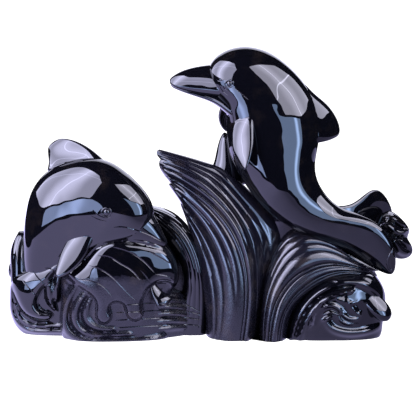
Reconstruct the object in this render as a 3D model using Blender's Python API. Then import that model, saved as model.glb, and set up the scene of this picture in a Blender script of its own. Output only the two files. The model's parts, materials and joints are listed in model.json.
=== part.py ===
"""Two dolphins leaping over breaking waves, carved from one block of black obsidian.

X runs along the carving with the leaping dolphin's tail at +X, Y runs into it from the front, and Z is up.
The underside is ground flat at Z = 0, and the origin is at the middle of the footprint of the bounding box.
Free forms are drawn on a grid of 200 steps in X and Z and 62 in Y, each a millimetre at the sizes below.
"""

import math

import bmesh
import bpy
import numpy as np

CARVING_LENGTH = 0.200
CARVING_DEPTH = 0.062
GROOVE_DEPTH = 0.0013
RIM_THICKNESS = 0.0009


GRID_STEPS_X = 200
GRID_STEPS_Y = 62
GRID_X = CARVING_LENGTH / GRID_STEPS_X
GRID_Y = CARVING_DEPTH / GRID_STEPS_Y

CREASE_ANGLE = math.radians(40)

BODY_SIDES = 18
BLADE_SIDES = 8
RIDGE_COLUMNS = 3

OBSIDIAN_COLOUR = (0.006, 0.006, 0.009, 1.0)
OBSIDIAN_ROUGHNESS = 0.06

forms = bpy.data.collections.new("carved_forms")


def clear_scene():
    for thing in list(bpy.data.objects):
        bpy.data.objects.remove(thing)
    bpy.context.scene.collection.children.link(forms)


def spline(at, rows, wanted):
    """A natural cubic spline through rows placed at the values in at, read at the wanted values."""
    at, rows, wanted = (np.asarray(values, float) for values in (at, rows, wanted))
    gaps = np.diff(at)
    size = len(at)
    system = np.eye(size)
    pull = np.zeros_like(rows)
    for i in range(1, size - 1):
        before, after = gaps[i - 1], gaps[i]
        system[i, i - 1 : i + 2] = before, 2 * (before + after), after
        pull[i] = 6 * ((rows[i + 1] - rows[i]) / after - (rows[i] - rows[i - 1]) / before)
    bend = np.linalg.solve(system, pull.reshape(size, -1)).reshape(rows.shape)
    i = np.clip(np.searchsorted(at, wanted, side="right") - 1, 0, size - 2)
    shape = (-1,) + (1,) * (rows.ndim - 1)
    left = (wanted - at[i]).reshape(shape)
    right = (at[i + 1] - wanted).reshape(shape)
    gap = gaps[i].reshape(shape)
    return (
        (bend[i] * right**3 + bend[i + 1] * left**3) / (6 * gap)
        + (rows[i] / gap - bend[i] * gap / 6) * right
        + (rows[i + 1] / gap - bend[i + 1] * gap / 6) * left
    )


def smooth_rows(rows, count):
    """The spline through the rows, spaced by the distance between them, read at count even steps."""
    rows = np.asarray(rows, float)
    at = np.concatenate([[0.0], np.cumsum(np.linalg.norm(np.diff(rows, axis=0), axis=1))])
    return spline(at, rows, np.linspace(0, at[-1], count))


def placed(name, mesh):
    """One form of the carving, kept out of the picture for the union to take up."""
    mesh.shade_smooth()
    mesh.set_sharp_from_angle(angle=CREASE_ANGLE)
    made = bpy.data.objects.new(name, mesh)
    made.hide_render = True
    made.display_type = "WIRE"
    forms.objects.link(made)
    return made


def solid_of_rings(name, rings):
    """A closed skin over rings of equal length, with a point at the middle of each end."""
    mesh = bpy.data.meshes.new(name)
    shape = bmesh.new()
    loops = [[shape.verts.new(point) for point in ring] for ring in rings]
    sides = len(loops[0])
    for lower, upper in zip(loops, loops[1:]):
        for i in range(sides):
            j = (i + 1) % sides
            shape.faces.new((lower[i], lower[j], upper[j], upper[i]))
    for loop, turn in ((loops[0], -1), (loops[-1], 1)):
        centre = shape.verts.new(np.mean([vert.co for vert in loop], axis=0))
        for i in range(sides):
            shape.faces.new((loop[i], loop[(i + 1) % sides], centre)[::turn])
    bmesh.ops.recalc_face_normals(shape, faces=shape.faces)
    shape.to_mesh(mesh)
    shape.free()
    return placed(name, mesh)


def solid_of_sheets(name, front, rear):
    """A closed skin over two grids of points of the same size, joined around their rims."""
    mesh = bpy.data.meshes.new(name)
    shape = bmesh.new()
    near = [[shape.verts.new(point) for point in line] for line in front]
    far = [[shape.verts.new(point) for point in line] for line in rear]
    for sheet in (near, far):
        for line, following in zip(sheet, sheet[1:]):
            for i in range(len(line) - 1):
                shape.faces.new((line[i], line[i + 1], following[i + 1], following[i]))
    rims = [
        (near[0], far[0]),
        (near[-1], far[-1]),
        ([line[0] for line in near], [line[0] for line in far]),
        ([line[-1] for line in near], [line[-1] for line in far]),
    ]
    for rim, opposite in rims:
        for i in range(len(rim) - 1):
            shape.faces.new((rim[i], rim[i + 1], opposite[i + 1], opposite[i]))
    bmesh.ops.recalc_face_normals(shape, faces=shape.faces)
    shape.to_mesh(mesh)
    shape.free()
    return placed(name, mesh)


def blade(name, rows, count, sides=BLADE_SIDES, across=None):
    """A body or fin between two edges. A row is one edge's x and z, the other's, middle y and half thickness."""
    scale = np.array([GRID_X, GRID_X, GRID_X, GRID_X, GRID_Y, GRID_Y])
    read = smooth_rows(rows, count) * scale
    edge = read[:, [0, 4, 1]]
    other = read[:, [2, 4, 3]]
    centres, chords = (edge + other) / 2, (edge - other) / 2
    along = centres[-1] - centres[0]
    angles = np.linspace(0, math.tau, sides, endpoint=False)
    rings = []
    for centre, chord, half in zip(centres, chords, read[:, 5]):
        normal = np.array(across or np.cross(along, chord), float)
        normal *= half / np.linalg.norm(normal)
        rings.append([centre + chord * math.cos(a) + normal * math.sin(a) for a in angles])
    return solid_of_rings(name, rings)


def body(name, rows, count):
    return blade(name, rows, count, BODY_SIDES, across=(0, 1, 0))


def swell(name, strands, middle, thickness, ridges, rows, lobe=0.0, back=0.9):
    """A ribbed sheet of water that follows the strands, which are lists of x and z from the ground to the tips.

    middle is y at the ground and at the tips, thickness is half the depth at even steps along the strands,
    ridges are the relative widths of the ribs, and lobe is how much shorter the sheet is in their grooves.
    """
    edges = np.concatenate([[0.0], np.cumsum(ridges)]) / np.sum(ridges)
    shares = np.arange(RIDGE_COLUMNS) / RIDGE_COLUMNS
    across = np.concatenate([a + (b - a) * shares for a, b in zip(edges, edges[1:])] + [[1.0]])
    ripple = np.concatenate([np.sin(math.pi * shares)] * len(ridges) + [[0.0]])
    dense = np.linspace(0, 1, 65)
    lines = np.stack([smooth_rows(strand, len(dense)) for strand in strands])
    plan = spline(np.linspace(0, 1, len(strands)), lines, across)
    crown = (1 - np.abs(2 * across - 1) ** 2.6) ** (1 / 2.6)
    even = np.linspace(0, 1, len(thickness))
    front, rear = [], []
    for line, rib, arch in zip(plan, ripple, crown):
        along = np.linspace(0, 1 - lobe * (1 - rib), rows)
        x = np.interp(along, dense, line[:, 0]) * GRID_X
        z = np.interp(along, dense, line[:, 1]) * GRID_X
        y = np.interp(along, (0, 1), middle) * GRID_Y
        half = np.interp(along, even, thickness) * GRID_Y * arch + GROOVE_DEPTH * rib + RIM_THICKNESS / 2
        front.append(np.stack([x, y - half, z], axis=1))
        rear.append(np.stack([x, y + back * half, z], axis=1))
    return solid_of_sheets(name, front, rear)


def boss(name, centre, radii, sides=16, rings=8):
    """A flattened ball of water or foam. centre and radii are x, y and z on the grid."""
    grid = np.array([GRID_X, GRID_Y, GRID_X])
    centre, radii = np.array(centre) * grid, np.array(radii) * grid
    loops = []
    for i in range(1, rings):
        tip = math.pi * i / rings
        loops.append(
            [
                centre + radii * (math.cos(a) * math.sin(tip), math.cos(tip), math.sin(a) * math.sin(tip))
                for a in np.linspace(0, math.tau, sides, endpoint=False)
            ]
        )
    return solid_of_rings(name, loops)


def scroll(name, centre, start, end, turns, first_angle, y, width, depth, stations=18, sides=8):
    """A raised band that curls inwards, from the x and z radii in start to those in end."""
    rings = []
    for share in np.linspace(0, 1, stations):
        angle = math.radians(first_angle) + math.tau * turns * share
        reach = np.array(start) * (1 - share) + np.array(end) * share
        out = np.array([math.cos(angle), 0, math.sin(angle)])
        at = np.array([centre[0], 0, centre[1]]) + out * (reach[0], 0, reach[1])
        swelling = min(1, 0.35 + 4 * share) * min(1, 0.35 + 4 * (1 - share))
        ring = []
        for a in np.linspace(0, math.tau, sides, endpoint=False):
            point = (at + out * width * swelling * math.cos(a)) * GRID_X
            point[1] = (y + depth * swelling * math.sin(a)) * GRID_Y
            ring.append(point)
        rings.append(ring)
    return solid_of_rings(name, rings)


def leaping_dolphin():
    body(
        "leaper_body",
        [
            (0.0, 126.0, 0.0, 124.0, 0, 1.0),
            (0.6, 132.0, 2.0, 116.5, 0, 8.0),
            (8.5, 140.0, 7.6, 109.0, 0, 13.5),
            (26.0, 141.0, 9.6, 98.0, 0, 17.0),
            (41.0, 131.5, 9.6, 88.5, 0, 18.4),
            (52.0, 115.5, 12.6, 80.5, 0, 18.4),
            (54.6, 98.0, 18.6, 70.0, 0, 17.0),
            (52.8, 83.0, 28.0, 60.0, 0, 14.8),
            (56.0, 69.5, 38.5, 54.0, 0, 12.5),
            (68.0, 61.0, 51.0, 45.5, 0, 10.5),
            (80.0, 55.0, 66.5, 36.5, 0, 7.5),
        ],
        28,
    )
    blade(
        "leaper_beak",
        [
            (7.9, 132.5, 12.8, 106.5, 0, 12.0),
            (1.0, 131.0, 3.0, 113.8, 0, 9.0),
            (-6.9, 129.5, -5.9, 117.5, 0, 6.3),
            (-13.3, 127.5, -12.8, 120.0, 0, 4.4),
            (-17.0, 125.5, -16.7, 121.5, 0, 2.8),
            (-18.7, 124.0, -18.7, 123.0, 0, 1.0),
        ],
        10,
        sides=12,
        across=(0, 1, 0),
    )
    blade(
        "leaper_dorsal_fin",
        [
            (45.8, 124.5, 54.2, 89.5, 0, 4.6),
            (52.2, 117.5, 55.7, 93.5, 0, 3.6),
            (57.1, 113.5, 58.6, 95.8, 0, 2.8),
            (61.1, 109.0, 61.6, 96.8, 0, 2.2),
            (63.5, 103.5, 63.5, 97.5, 0, 1.6),
            (64.3, 100.0, 64.3, 98.3, 0, 0.7),
        ],
        8,
        across=(0, 1, 0),
    )
    for name, side in (("leaper_near_flipper", -1), ("leaper_far_flipper", 1)):
        reach = 0 if side < 0 else -8
        blade(
            name,
            [
                (14.8, 109.0, 23.2, 109.0, side * 14.0, 3.5),
                (11.3 + reach / 3, 104.0, 23.4, 103.0, side * 17.5, 3.0),
                (11.3 + reach / 1.6, 97.5, 22.7, 96.0, side * 20.0, 2.5),
                (13.8 + reach, 90.8, 20.7 + reach / 2, 90.3, side * 21.5, 2.0),
                (17.7 + reach, 86.0, 19.2 + reach, 86.5, side * 22.0, 1.0),
            ],
            8,
        )
    blade(
        "leaper_near_fluke",
        [
            (79.8, 58.5, 63.0, 39.5, -2, 6.0),
            (85.7, 51.5, 71.9, 35.0, -9, 4.0),
            (90.1, 44.5, 80.8, 31.5, -15, 3.0),
            (90.6, 37.8, 86.7, 32.0, -19, 1.5),
        ],
        7,
    )
    blade(
        "leaper_far_fluke",
        [
            (69.0, 60.5, 83.7, 56.5, 2, 5.0),
            (73.9, 64.7, 89.2, 58.8, 10, 3.2),
            (79.8, 67.5, 87.7, 63.2, 16, 2.4),
            (83.2, 68.5, 84.7, 67.0, 20, 1.1),
        ],
        7,
    )


def diving_dolphin():
    middle = -4
    body(
        "diver_body",
        [
            (-29.6, 57.6, -29.6, 56.2, middle, 1.0),
            (-31.2, 63.5, -33.5, 50.5, middle, 8.0),
            (-41.9, 76.5, -44.3, 43.5, middle, 16.0),
            (-59.6, 85.6, -56.6, 37.5, middle, 20.5),
            (-76.8, 82.5, -65.0, 31.5, middle, 21.0),
            (-88.2, 68.0, -71.5, 26.0, middle, 20.0),
            (-92.6, 50.5, -76.3, 20.5, middle, 17.5),
            (-92.0, 32.0, -79.5, 14.5, middle, 13.0),
            (-87.5, 18.0, -80.5, 10.0, middle, 8.0),
        ],
        26,
    )
    blade(
        "diver_beak",
        [
            (-35.5, 67.5, -45.3, 44.5, middle, 12.0),
            (-29.6, 59.5, -37.4, 44.6, middle, 8.6),
            (-25.6, 53.2, -30.5, 43.2, middle, 6.2),
            (-22.7, 48.2, -24.6, 42.4, middle, 4.0),
            (-20.4, 44.3, -20.9, 42.6, middle, 1.4),
        ],
        9,
        sides=12,
        across=(0, 1, 0),
    )
    blade(
        "diver_dorsal_fin",
        [
            (-49.0, 81.0, -78.5, 80.5, middle, 4.8),
            (-52.5, 86.0, -78.0, 84.0, middle, 3.9),
            (-57.5, 90.5, -79.0, 87.5, middle, 3.3),
            (-64.0, 94.5, -80.0, 90.8, middle, 2.7),
            (-70.0, 96.4, -78.8, 93.5, middle, 2.0),
            (-74.0, 96.6, -76.5, 95.7, middle, 0.9),
        ],
        9,
        across=(0, 1, 0),
    )
    for name, side in (("diver_near_flipper", -1), ("diver_far_flipper", 1)):
        blade(
            name,
            [
                (-60.1, 56.5, -54.2, 50.5, middle + side * 16, 3.6),
                (-65.5, 54.0, -57.1, 49.5, middle + side * 19, 3.2),
                (-69.5, 48.5, -61.6, 44.0, middle + side * 21.5, 2.7),
                (-72.4, 41.7, -67.0, 37.7, middle + side * 23, 2.1),
                (-73.4, 37.2, -71.9, 36.2, middle + side * 23, 0.9),
            ],
            8,
        )


def splash():
    """The tall splash that carries the leaping dolphin, fanned to the left and torn into tips."""
    swell(
        "splash",
        [
            [(-2.0, -4.0), (-3.5, 15.5), (-8.5, 40.0), (-11.5, 50.5), (-13.5, 57.5)],
            [(2.5, -4.0), (5.0, 19.5), (1.5, 37.5), (-6.0, 52.5), (-17.0, 65.5)],
            [(9.5, -4.0), (12.0, 26.0), (5.0, 48.5), (-6.5, 62.5), (-20.0, 73.0)],
            [(16.5, -4.0), (18.5, 30.5), (10.0, 54.0), (-5.0, 69.5), (-22.5, 80.0)],
            [(20.0, -4.0), (22.5, 25.5), (20.0, 45.5), (11.5, 62.5), (-4.5, 76.5), (-25.0, 86.0)],
            [(25, -4), (30, 24.5), (35, 46), (28, 62.5), (17, 74), (4, 83), (-25, 90.5)],
        ],
        middle=(0, 1),
        thickness=(20, 20, 19, 16, 12, 7, 2.5),
        ridges=(3, 4, 3, 5, 3, 4, 3),
        rows=11,
        lobe=0.03,
    )
    blade(
        "splash_plume",
        [
            (-3.0, 78.0, 16.0, 70.0, 3, 9.0),
            (2.0, 88.0, 14.0, 84.0, 4, 6.5),
            (3.6, 94.0, 12.5, 92.0, 4, 4.5),
            (7.2, 98.3, 10.5, 98.0, 4, 1.5),
        ],
        7,
    )


def right_wave():
    """The wave that breaks to the right under the leaping dolphin's tail, and the curl inside it."""
    swell(
        "right_wave",
        [
            [(38.0, -4.0), (41.0, 9.5), (50.5, 20.5), (64.0, 26.5), (82.5, 28.5)],
            [(33.0, -4.0), (38.0, 14.5), (49.0, 26.5), (64.0, 32.0), (82.0, 30.5)],
            [(26.5, -4.0), (31.0, 19.0), (40.5, 34.0), (53.5, 40.5), (67.0, 37.0), (81.5, 32.0)],
            [(22.5, -4), (25.5, 26), (32.5, 44), (42, 52), (55, 51.5), (70, 43), (81, 35)],
        ],
        middle=(-4, -6),
        thickness=(23, 23, 21, 18, 15, 12, 7),
        ridges=(4, 3, 5, 3, 4, 3, 4),
        rows=11,
    )
    boss("tail_wave", (62.0, -9.0, 12.0), (24.0, 21.0, 17.0))
    boss("tail_wave_rear", (60.0, 9.0, 10.0), (25.5, 21.5, 18.5))
    blade(
        "tail_wave_crest",
        [
            (72.0, 36.0, 66.0, 24.0, -10, 9.0),
            (82.0, 29.5, 75.0, 22.0, -10, 8.0),
            (86.0, 21.0, 79.0, 17.0, -12, 6.0),
            (87.5, 15.0, 82.0, 13.5, -14, 4.5),
            (86.5, 10.5, 83.0, 10.5, -15, 2.0),
        ],
        8,
    )
    scroll("tail_curl", (71.0, 9.0), (16.0, 7.5), (7.0, 3.5), -0.9, 250, -28, 2.6, 3.0, stations=14, sides=6)


def rear_hump():
    """The swell behind the diver's head."""
    swell(
        "rear_hump",
        [
            [(-18.0, -4.0), (-15.0, 15.5), (-14.5, 30.0), (-20.0, 42.0), (-31.0, 55.0)],
            [(-10.0, -4.0), (-8.0, 15.5), (-9.0, 32.0), (-16.5, 48.0), (-31.0, 58.0)],
            [(0.0, -4.0), (1.0, 15.5), (-4.0, 36.0), (-13.0, 51.0), (-21.0, 59.0), (-32.0, 62.0)],
        ],
        middle=(3, 3),
        thickness=(17, 17, 16, 13, 9, 5),
        ridges=(4, 3, 4, 3),
        rows=9,
    )


def left_wave():
    """The folded swell behind the diver's back."""
    swell(
        "left_wave",
        [
            [(-98.5, 6.0), (-99.5, 20.0), (-98.5, 36.0), (-93.0, 49.5)],
            [(-84.0, 6.0), (-85.0, 20.0), (-86.0, 36.0), (-88.0, 50.0)],
        ],
        middle=(5, 5),
        thickness=(16, 15, 13, 9, 4),
        ridges=(3, 4, 3),
        rows=8,
    )


def front_scrolls():
    """The curling wave in front of the diver, and the low claw-shaped one behind its back."""
    boss("diver_wave", (-44.0, -9.0, 14.0), (28.5, 19.5, 36.0), sides=18, rings=9)
    boss("diver_wave_rear", (-48.0, 9.0, 13.0), (29.5, 23.5, 27.0))
    blade(
        "diver_wave_crest",
        [
            (-70.0, 23.0, -63.0, 23.0, -20, 8.0),
            (-66.5, 35.5, -59.0, 27.5, -20, 11.0),
            (-58.0, 46.0, -52.5, 28.5, -19, 12.0),
            (-48.0, 51.5, -44.5, 27.0, -18, 13.0),
            (-36.0, 53.5, -37.0, 24.0, -18, 12.0),
            (-25.0, 50.0, -31.0, 26.0, -18, 10.0),
            (-18.0, 41.5, -24.0, 30.5, -19, 7.0),
            (-15.0, 33.0, -19.0, 29.0, -20, 4.0),
            (-15.5, 26.0, -16.5, 26.5, -20, 1.0),
        ],
        14,
        sides=10,
        across=(0, 1, 0),
    )
    scroll("diver_curl", (-53, 15.5), (19.5, 16.5), (5.5, 5), -1.3, 285, -28, 3.4, 3.4, stations=20, sides=6)
    boss("diver_wave_foot", (-24.0, -7.0, 4.0), (22.0, 17.0, 16.0))
    boss("low_wave", (-83.0, -2.0, 12.0), (16.5, 20.0, 19.0))
    blade(
        "low_wave_claw",
        [
            (-72.0, 41.0, -72.0, 26.0, -12, 6.0),
            (-82.0, 37.5, -78.0, 20.0, -13, 7.5),
            (-91.0, 32.0, -86.0, 15.0, -13, 7.0),
            (-97.0, 25.5, -91.0, 12.0, -12, 5.0),
            (-97.0, 19.5, -94.0, 13.5, -12, 2.0),
        ],
        10,
        across=(0, 1, 0),
    )


def foam():
    """The foam thrown up beyond the leaping dolphin's tail."""
    boss("tail_foam_upper", (91.5, 3.0, 49.5), (8.0, 9.0, 8.5), sides=10, rings=6)
    boss("tail_foam_lower", (93.0, 0.0, 40.5), (7.0, 8.0, 5.6), sides=10, rings=6)
    boss("tail_foam_root", (84.0, 0.0, 46.0), (10.0, 8.0, 10.0), sides=10, rings=6)


def core():
    """The stone left between the waves, and the low bed of water that they rise from."""
    boss("sea_bed", (-4.0, 1.0, 0.0), (88.0, 27.0, 13.0), sides=24, rings=8)
    blade(
        "core_right",
        [
            (6.0, -5.0, 48.0, -5.0, 0, 17.0),
            (9.0, 18.0, 48.0, 16.0, 0, 16.0),
            (12.0, 40.0, 50.0, 36.0, 0, 14.0),
            (17.0, 56.0, 46.0, 49.0, 0, 10.0),
        ],
        6,
        across=(0, 1, 0),
    )
    blade(
        "core_left",
        [
            (-40.0, -5.0, 8.0, -5.0, 2, 16.0),
            (-38.0, 18.0, 6.0, 18.0, 2, 15.0),
            (-38.0, 36.0, 0.0, 38.0, 2, 12.0),
            (-36.0, 52.0, -10.0, 50.0, 2, 7.0),
        ],
        6,
        across=(0, 1, 0),
    )


def ground_cut():
    """A block below the ground plane, which cuts the underside flat."""
    block = solid_of_rings(
        "ground_cut",
        [
            [
                (x * CARVING_LENGTH, y * CARVING_DEPTH, z * CARVING_LENGTH)
                for x, y in ((-1, -1), (1, -1), (1, 1), (-1, 1))
            ]
            for z in (-0.5, 0)
        ],
    )
    forms.objects.unlink(block)
    bpy.context.scene.collection.objects.link(block)
    return block


def obsidian():
    material = bpy.data.materials.new("black_obsidian")
    material.use_nodes = True
    shader = material.node_tree.nodes["Principled BSDF"]
    shader.inputs["Base Color"].default_value = OBSIDIAN_COLOUR
    shader.inputs["Roughness"].default_value = OBSIDIAN_ROUGHNESS
    shader.inputs["Metallic"].default_value = 0.0
    return material


def main():
    clear_scene()
    leaping_dolphin()
    diving_dolphin()
    splash()
    right_wave()
    rear_hump()
    left_wave()
    front_scrolls()
    foam()
    core()
    cut = ground_cut()
    bed = forms.objects["sea_bed"]
    carving = bpy.data.objects.new("dolphin_carving", bed.data.copy())
    bpy.data.objects.remove(bed)
    bpy.context.scene.collection.objects.link(carving)
    join = carving.modifiers.new("join_forms", "BOOLEAN")
    join.operation = "UNION"
    join.operand_type = "COLLECTION"
    join.collection = forms
    flat = carving.modifiers.new("grind_underside", "BOOLEAN")
    flat.operation = "DIFFERENCE"
    flat.object = cut
    carving.data.materials.append(obsidian())


main()
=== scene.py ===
# %% [markdown]
# # Carved obsidian dolphins
#
# The real object is one block of black volcanic glass. A carver has sawn it to shape, cut the waves with
# burrs, and polished the dolphins until they reflect the room like a mirror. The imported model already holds
# the large forms. This lesson adds the look: smooth bodies, ribbed water, engraved lines, and two finishes.

# %% Load the frame
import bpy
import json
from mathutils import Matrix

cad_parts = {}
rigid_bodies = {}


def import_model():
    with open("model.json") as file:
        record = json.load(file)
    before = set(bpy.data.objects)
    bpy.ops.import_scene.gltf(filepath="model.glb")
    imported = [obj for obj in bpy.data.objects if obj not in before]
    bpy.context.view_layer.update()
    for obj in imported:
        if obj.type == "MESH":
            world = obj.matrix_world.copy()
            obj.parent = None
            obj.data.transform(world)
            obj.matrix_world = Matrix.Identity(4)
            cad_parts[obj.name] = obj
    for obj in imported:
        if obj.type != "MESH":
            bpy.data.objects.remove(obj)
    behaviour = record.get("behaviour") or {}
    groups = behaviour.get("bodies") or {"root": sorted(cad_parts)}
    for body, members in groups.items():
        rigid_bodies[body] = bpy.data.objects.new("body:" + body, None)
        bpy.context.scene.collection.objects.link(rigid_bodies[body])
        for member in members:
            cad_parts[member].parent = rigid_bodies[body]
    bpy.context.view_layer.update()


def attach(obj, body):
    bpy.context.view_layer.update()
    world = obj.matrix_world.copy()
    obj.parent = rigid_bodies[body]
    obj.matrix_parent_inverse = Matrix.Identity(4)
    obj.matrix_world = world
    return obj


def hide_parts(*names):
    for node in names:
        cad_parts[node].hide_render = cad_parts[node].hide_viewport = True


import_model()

# %% Modules and units
import json
import math

import bmesh
import bpy
import numpy as np
from mathutils import Matrix, Vector
from mathutils.bvhtree import BVHTree

MM = 0.001
VIEW_RISE = math.radians(10)
SLOPE = math.tan(VIEW_RISE)

# %% [markdown]
# ## One smooth curve for everything
#
# Polished stone shows every kink, because a reflection jumps where the surface turns too fast. So each form
# is described by a few given rows, and a natural cubic spline, the curve of a bent steel ruler, runs
# through them.

# %% The spline
def bent_ruler(at, rows, wanted):
    """A natural cubic spline through rows placed at the values in at, read at the wanted values."""
    at, rows, wanted = (np.asarray(values, float) for values in (at, rows, wanted))
    gaps = np.diff(at)
    size = len(at)
    system = np.eye(size)
    pull = np.zeros_like(rows)
    for i in range(1, size - 1):
        before, after = gaps[i - 1], gaps[i]
        system[i, i - 1 : i + 2] = before, 2 * (before + after), after
        pull[i] = 6 * ((rows[i + 1] - rows[i]) / after - (rows[i] - rows[i - 1]) / before)
    bend = np.linalg.solve(system, pull.reshape(size, -1)).reshape(rows.shape)
    i = np.clip(np.searchsorted(at, wanted, side="right") - 1, 0, size - 2)
    shape = (-1,) + (1,) * (rows.ndim - 1)
    left = (wanted - at[i]).reshape(shape)
    right = (at[i + 1] - wanted).reshape(shape)
    gap = gaps[i].reshape(shape)
    return (
        (bend[i] * right**3 + bend[i + 1] * left**3) / (6 * gap)
        + (rows[i] / gap - bend[i] * gap / 6) * right
        + (rows[i + 1] / gap - bend[i + 1] * gap / 6) * left
    )


def steps_along(rows):
    """How far each row lies from the first, walked from row to row."""
    return np.concatenate([[0.0], np.cumsum(np.linalg.norm(np.diff(rows, axis=0), axis=1))])


def count_for(line, gap):
    """How many points fit on a line of the front drawing at about this gap in mm."""
    return int(steps_along(np.asarray(line, float)[:, :2])[-1] / gap)


def evenly(rows, count):
    """The spline through the rows, spaced by the distance between them, read at count even steps."""
    rows = np.asarray(rows, float)
    at = steps_along(rows)
    return bent_ruler(at, rows, np.linspace(0, at[-1], count))


# %% [markdown]
# ## A front drawing, pushed to its depth
#
# Carvers draw the front view on the block before they cut. The same is done here: every point has an x and a
# height as drawn from the front, looking ten degrees down, and a depth y. A nearer point looks lower, so its
# real height is a little more.

# %% From the drawing to the block
def carved_point(x, height, y):
    """The real place of a point drawn at x and height, when its depth is y."""
    return (x, y, height - y * SLOPE)


def flat_rows(rows):
    """Rows of edge x, height, other edge x, height, depth y, half thickness."""
    return [(carved_point(x, h, y), carved_point(u, w, y), half) for x, h, u, w, y, half in rows]


def shell_rows(rows):
    """Rows of edge x, height, y, other edge x, height, y, half thickness."""
    return [(carved_point(*row[:3]), carved_point(*row[3:6]), row[6]) for row in rows]


# %% [markdown]
# ## Bodies drawn out of a circle
#
# A dolphin, a fin and a curl of water are all long forms with oval sections. Each starts as a circle, which
# is extruded again and again. Every new ring is moved, turned and squeezed into its own place, and a
# Subdivision Surface then rounds the cage. Two edges and a thickness give each ring, which is how a carver
# marks a block: the outline first, then the depth.

# %% Drawing a form out
POLISHED, GROUND = 0, 1
SIDEWAYS = (0, 1, 0)
forms = bpy.data.collections.new("forms")
bpy.context.scene.collection.children.link(forms)


def primitive(operator, name, location=(0, 0, 0), **size):
    """A piece from one of Blender's primitives: named, active, and alone in the selection."""
    bpy.ops.object.select_all(action="DESELECT")
    operator(location=location, **size)
    bpy.context.object.name = name
    return bpy.context.object


def turn_faces_out():
    """Make every face of the active piece look outwards."""
    bpy.ops.object.mode_set(mode="EDIT")
    bpy.ops.mesh.select_all(action="SELECT")
    bpy.ops.mesh.normals_make_consistent(inside=False)
    bpy.ops.object.mode_set(mode="OBJECT")


def mark_finish(piece, finish):
    """Remember the finish on every face, so that it is still known after the forms are joined."""
    layer = piece.data.attributes.new("finish", "INT", "FACE")
    layer.data.foreach_set("value", [finish] * len(piece.data.polygons))


def keep_in(piece, collection):
    """Move a piece into one collection only."""
    for other in list(piece.users_collection):
        other.objects.unlink(piece)
    collection.objects.link(piece)
    return piece


def ring_place(middle, reach, thick):
    """The matrix that lays a unit circle on an oval ring."""
    place = Matrix.Identity(4)
    place.col[0][:3] = reach
    place.col[1][:3] = thick
    place.col[2][:3] = Vector(reach).cross(Vector(thick)).normalized()
    place.col[3][:3] = middle
    return place


def drawn_out(
    name, rows, stations, sides=12, across=None, levels=2, finish=POLISHED, into=None, boxy=1, flare=0.0
):
    """A closed form. Each row is a point on one edge, a point on the other, and half the thickness, in mm.

    boxy below one squares the section, and flare thins it towards the first edge.
    """
    read = evenly([(*edge, *other, half) for edge, other, half in rows], stations) * MM
    # Rounding draws a ring of so many sides inwards by this share, so its cage is made larger first.
    grow = 3 / (2 + math.cos(math.tau / sides)) if levels else 1
    edges, others, halves = read[:, :3], read[:, 3:6], np.abs(read[:, 6])
    paths = np.gradient((edges + others) / 2, axis=0)
    piece = primitive(bpy.ops.mesh.primitive_circle_add, name, vertices=sides, radius=1, fill_type="NGON")
    for vert in piece.data.vertices:
        vert.co.x, vert.co.y = (math.copysign(abs(v) ** boxy, v) for v in (vert.co.x, vert.co.y))
        vert.co.y *= 1 - flare * vert.co.x
    bpy.ops.object.mode_set(mode="EDIT")
    last = Matrix.Identity(4)
    for i in range(stations):
        thick = np.array(across or np.cross(paths[i], edges[i] - others[i]), float)
        thick *= halves[i] * grow / np.linalg.norm(thick)
        place = ring_place((edges[i] + others[i]) / 2, (edges[i] - others[i]) / 2 * grow, thick)
        if i:
            bpy.ops.mesh.extrude_region_move()
        mesh = bmesh.from_edit_mesh(piece.data)
        carry = place @ last.inverted()
        for vert in mesh.verts:
            if vert.select:
                vert.co = carry @ vert.co
        bmesh.update_edit_mesh(piece.data)
        last = place
    turn_faces_out()
    if levels:
        rounding = piece.modifiers.new("rounding", "SUBSURF")
        rounding.levels = rounding.render_levels = levels
        bpy.ops.object.modifier_apply(modifier="rounding")
    mark_finish(piece, finish)
    keep_in(piece, into or forms)


# %% [markdown]
# ## The leaping dolphin
#
# Its back and belly are two long curves that bend like a bow, and the tail comes forward and ends in the near
# fluke. The upper and lower jaw are two slim forms that start inside the head. Where they meet, the mouth
# line is left as a groove, and the forehead swells above them.

# %% The leaping dolphin's body
drawn_out(
    "leaper_body",
    shell_rows(
        [
            (-0.4, 128.5, 0, 0.2, 123.5, 0, 2),
            (-0.2, 132.9, 0, 2.6, 116.5, 0, 7.6),
            (8.2, 140, 0, 7.3, 110, 0, 12.4),
            (25.5, 140.2, 0, 7.9, 104, 0, 15),
            (38.2, 132, 0, 8.3, 98, -1, 16.2),
            (47.6, 121.2, -0.8, 8.9, 91.5, -2.2, 17),
            (52.6, 109, -2, 10.6, 85.2, -4, 17.2),
            (53.6, 97.5, -3.6, 14, 78.8, -6.4, 16.4),
            (51.6, 87, -5.4, 18.8, 71, -8.6, 15.2),
            (51.5, 78.5, -7, 25.6, 62.3, -10.2, 13.6),
            (54.6, 70.7, -8.4, 35, 54.5, -10.8, 11.6),
            (61.4, 63, -11, 46.5, 48.4, -9.4, 9.8),
            (68.4, 59.8, -13.5, 58, 43.6, -8.5, 8.4),
            (75.5, 57.2, -15.5, 67.8, 38.7, -8.5, 7),
            (82.3, 53.2, -17, 74.5, 34.7, -10, 5.6),
            (87.3, 47.4, -17.5, 79.5, 31.9, -12, 4.4),
            (90.1, 40.5, -17.5, 83.8, 29.8, -14, 3.4),
            (91, 34.5, -17.5, 86.8, 28.6, -15.5, 2.4),
            (90.4, 30.4, -17.4, 88.8, 28.2, -16.8, 1.2),
        ]
    ),
    32,
    sides=16,
    across=SIDEWAYS,
    boxy=0.9,
)
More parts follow.
